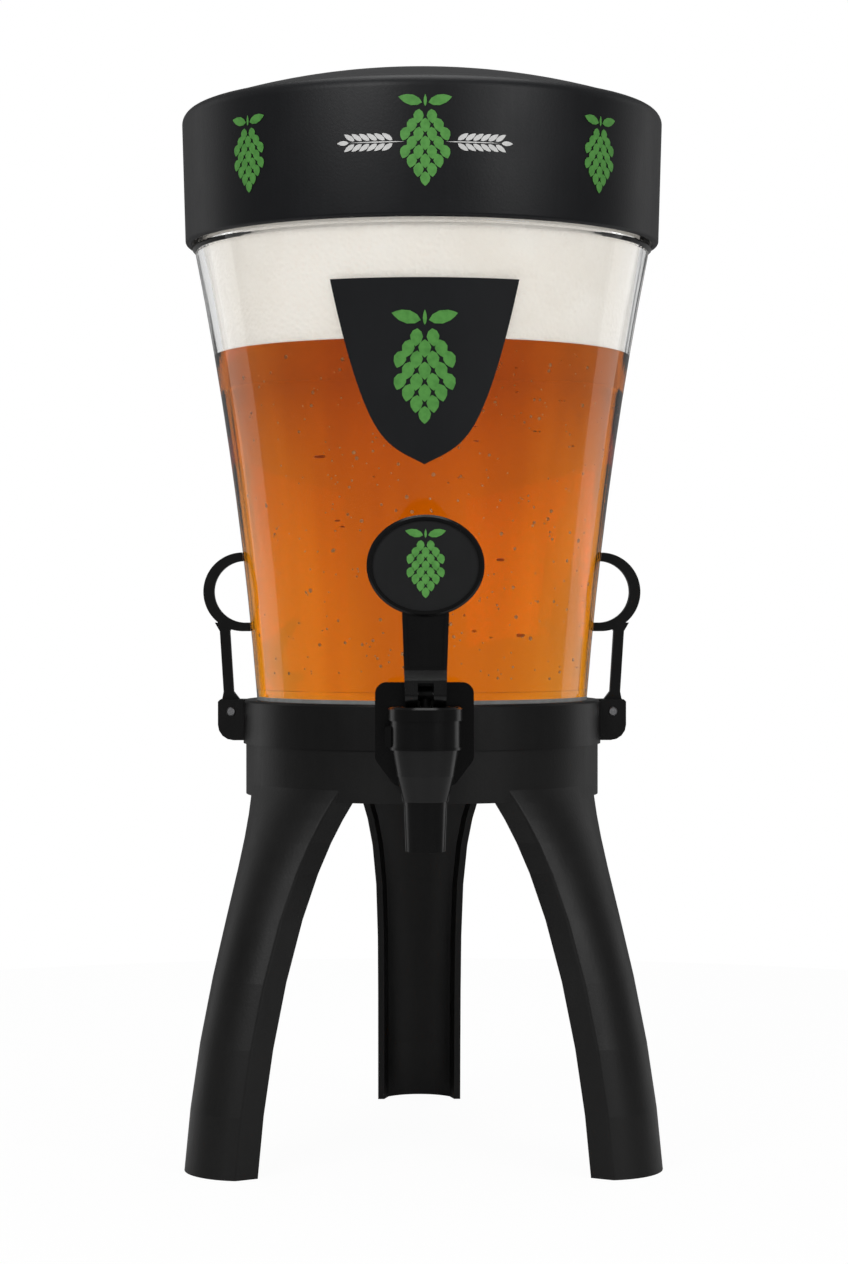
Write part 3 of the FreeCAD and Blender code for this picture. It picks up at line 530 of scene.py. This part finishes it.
marks = dict(sideAngle=44, sideHeight=0.031, sideZ=0.402, middleHeight=0.036, middleZ=0.403,
             earLength=0.0235, earOut=0.0098, earUp=0.0005, labelHeight=0.045, labelZ=0.3165,
             badgeHeight=0.027, badgeZ=0.240)


def makeMarks(green, white):
    middle = onLid(0, marks["middleZ"])
    for side, word in ((-1, "left"), (1, "right")):
        place = onLid(side * math.radians(marks["sideAngle"]), marks["sideZ"])
        wrapMark("mark_lid_" + word, hopCone(marks["sideHeight"]), place, green, "lid")
    wrapMark("mark_lid_hop", hopCone(marks["middleHeight"]), middle, green, "lid")
    for side, word in ((-1, "left"), (1, "right")):
        ear = barleyEar(marks["earLength"], side)
        bmesh.ops.translate(ear, vec=(side * marks["earOut"], marks["earUp"], 0), verts=ear.verts)
        wrapMark("mark_lid_ear_" + word, ear, middle, white, "lid")
    wrapMark("mark_label", hopCone(marks["labelHeight"]), onVessel(marks["labelZ"]), green,
             "vessel_unit")
    wrapMark("mark_badge", hopCone(marks["badgeHeight"]), onBadge(marks["badgeZ"]), green,
             "lever")
    print("printed marks made")


# Studio

studio = dict(eye=(-0.015, -1.2, 0.225), lens=81.37, shiftX=0.0016, shiftY=-0.0214,
              floorTone=(0.80, 0.80, 0.80), floorWhite=0.93, floorRadius=0.62,
              floorGlow=1.03, worldLight=0.17)


def seenDirectly(tree):
    paths = tree.nodes.new("ShaderNodeLightPath")
    seen = addNode(tree, "ShaderNodeMath", operation="MAXIMUM")
    tree.links.new(paths.outputs["Is Camera Ray"], seen.inputs[0])
    tree.links.new(paths.outputs["Is Transmission Ray"], seen.inputs[1])
    return seen.outputs[0]


def makeStudio():
    bm = bmesh.new()
    bmesh.ops.create_circle(bm, cap_ends=True, segments=96, radius=studio["floorRadius"])
    mesh = bpy.data.meshes.new("floor")
    bm.to_mesh(mesh)
    bm.free()
    floor = bpy.data.objects.new("floor", mesh)
    scene.collection.objects.link(floor)
    material, tree, shader = newMaterial("paleFloor")
    shader.inputs["Base Color"].default_value = (*studio["floorTone"], 1)
    shader.inputs["Roughness"].default_value = 0.6
    share = addNode(tree, "ShaderNodeMath", operation="MULTIPLY")
    share.inputs[1].default_value = studio["floorWhite"]
    tree.links.new(seenDirectly(tree), share.inputs[0])
    white = addNode(tree, "ShaderNodeEmission", Strength=studio["floorGlow"])
    mix = tree.nodes.new("ShaderNodeMixShader")
    tree.links.new(share.outputs[0], mix.inputs["Fac"])
    tree.links.new(shader.outputs[0], mix.inputs[1])
    tree.links.new(white.outputs[0], mix.inputs[2])
    tree.links.new(mix.outputs[0], tree.nodes["Material Output"].inputs["Surface"])
    mesh.materials.append(material)

    world = bpy.data.worlds.new("studioWorld")
    scene.world = world
    world.use_nodes = True
    tree = world.node_tree
    background = tree.nodes["Background"]
    background.inputs["Color"].default_value = (1, 1, 1, 1)
    power = addNode(tree, "ShaderNodeMapRange")
    power.inputs["To Min"].default_value = studio["worldLight"]
    power.inputs["To Max"].default_value = 1.0
    tree.links.new(seenDirectly(tree), power.inputs["Value"])
    tree.links.new(power.outputs["Result"], background.inputs["Strength"])


def softbox(name, place, aim, width, height, watts):
    data = bpy.data.lights.new(name, "AREA")
    data.shape = "RECTANGLE"
    data.size, data.size_y = width, height
    data.energy = watts
    lamp = bpy.data.objects.new(name, data)
    lamp.location = place
    lamp.rotation_mode = "QUATERNION"
    lamp.rotation_quaternion = (Vector(aim) - Vector(place)).to_track_quat("-Z", "Y")
    scene.collection.objects.link(lamp)


softboxes = dict(
    keyBox=dict(place=(-0.9, -1.5, 1.25), aim=(0, 0, 0.25), width=0.9, height=0.9, watts=14),
    fillBox=dict(place=(1.1, -1.3, 0.9), aim=(0, 0, 0.25), width=0.8, height=1.0, watts=8),
    bandLeft=dict(place=(-1.02, 0.64, 0.30), aim=(0, 0, 0.28), width=0.55, height=1.6, watts=1.4),
    bandRight=dict(place=(1.02, 0.64, 0.30), aim=(0, 0, 0.28), width=0.55, height=1.6, watts=1.4),
    topBox=dict(place=(0, 0.1, 1.5), aim=(0, 0, 0.3), width=0.9, height=0.9, watts=6),
)


def makeLights():
    for name, values in softboxes.items():
        softbox(name, **values)


def makeCamera():
    data = bpy.data.cameras.new("photoCamera")
    data.lens = studio["lens"]
    data.sensor_width = 36
    data.shift_x, data.shift_y = studio["shiftX"], studio["shiftY"]
    camera = bpy.data.objects.new("photoCamera", data)
    camera.location = studio["eye"]
    aim = Vector((0, 0, studio["eye"][2])) - Vector(studio["eye"])
    camera.rotation_mode = "QUATERNION"
    camera.rotation_quaternion = aim.to_track_quat("-Z", "Y")
    scene.collection.objects.link(camera)
    scene.camera = camera


# Dress the CAD nodes

plastics = {name: mouldedPlastic(name, **finish) for name, finish in plasticFinishes.items()}
rubber = siliconeRubber()
steel = drawnSteel()
clear = clearVesselPlastic()
nodeFinishes = {
    plastics["standPlastic"]: ["tripod_stand"],
    plastics["collarPlastic"]: ["collar_ring"],
    plastics["lidPlastic"]: ["lid"],
    plastics["hookPlastic"]: ["side_hook_left", "side_hook_right"],
    plastics["tapPlastic"]: ["tap_plate", "tap_body", "tap_bonnet"],
    plastics["leverPlastic"]: ["tap_lever"],
    plastics["badgePlastic"]: ["handle_badge"],
    plastics["acetal"]: ["valve_stem", "shank_nut"],
    plastics["labelFilm"]: ["front_label"],
    rubber: ["valve_plug", "stem_seal", "vessel_gasket", "shank_gasket_outer", "shank_gasket_inner"],
    steel: ["hook_pin_left", "hook_pin_right", "lever_pin", "valve_spring"],
    clear: ["vessel"],
}
for material, names in nodeFinishes.items():
    for name in names:
        paintNode(name, material)
print("nodes dressed")
makeLid(plastics["lidPlastic"])
makeShield(plastics["labelFilm"])
print("lid and label made")

makeDrink()
makeBubbles()
makeMarks(printInk("greenInk", **inkFinishes["greenInk"]), printInk("whiteInk", **inkFinishes["whiteInk"]))
makeStudio()
makeLights()
makeCamera()

scene.view_settings.view_transform = "Standard"
